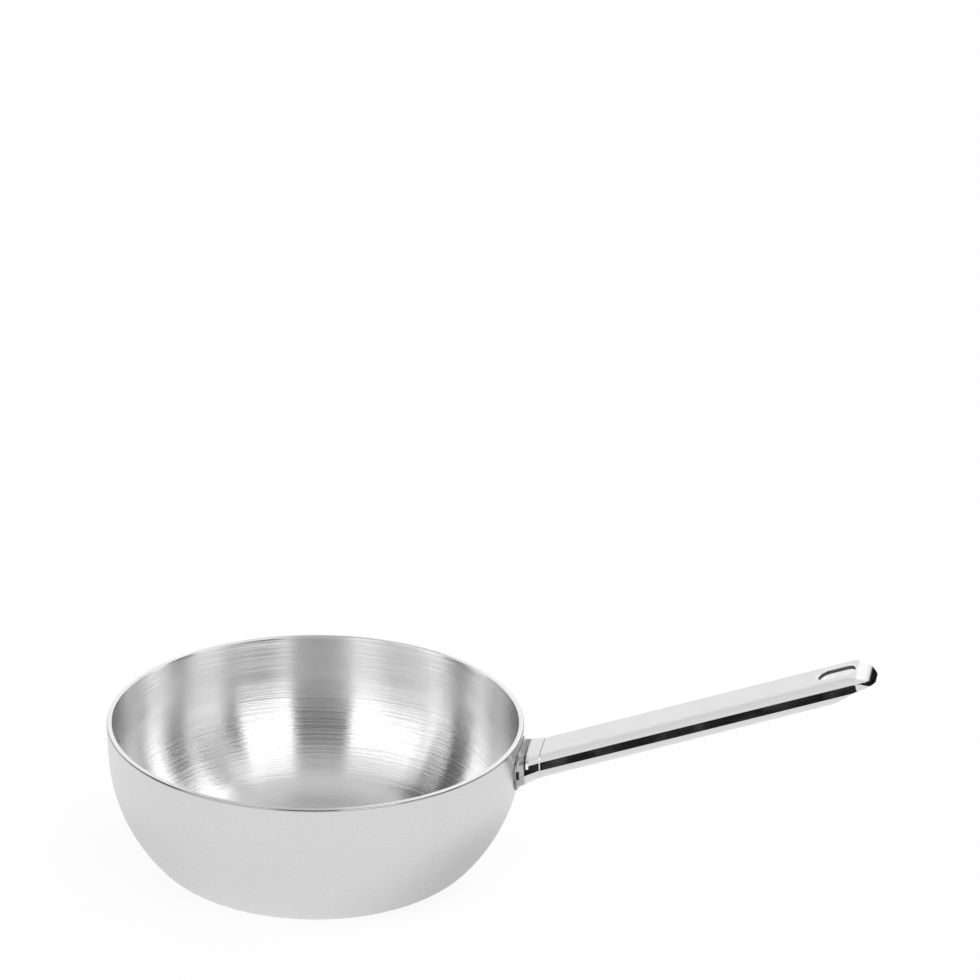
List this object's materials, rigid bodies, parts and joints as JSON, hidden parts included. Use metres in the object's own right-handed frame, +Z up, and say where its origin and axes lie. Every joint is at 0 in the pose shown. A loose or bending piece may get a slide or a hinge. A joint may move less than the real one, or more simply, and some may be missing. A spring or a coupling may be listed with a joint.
{
  "type": "saucier pan",
  "caption": "Round-bottomed saucier pan of clad steel sheet with a polished hollow handle that rises to a rounded end with a hanging slot.",
  "frame": {"origin": "centre of the flat face that the pan rests on", "axes": "+X along the handle, away from the pan; +Z up; the pan's round axis is the Z axis"},
  "size_m": [0.4424, 0.2398, 0.1443],
  "materials": {
    "brushed_inside": "stainless steel brushed in circles",
    "satin_outside": "satin stainless steel",
    "polished_handle": "mirror polished stainless steel",
    "aluminium_sheet": "rolled, ground bright at the rim",
    "weld_metal": "weld bead, brushed back"
  },
  "bodies": {
    "root": {"inner_liner": "brushed_inside", "inner_bond_layer": "aluminium_sheet", "aluminium_core": "aluminium_sheet", "outer_bond_layer": "aluminium_sheet", "outer_skin": "satin_outside", "foot_weld": "weld_metal", "handle_neck": "polished_handle", "neck_weld_ring": "weld_metal", "handle_upper_shell": "polished_handle", "handle_lower_shell": "polished_handle", "side_weld_seam": "polished_handle", "hanging_slot_sleeve": "polished_handle"}
  },
  "joints": []
}
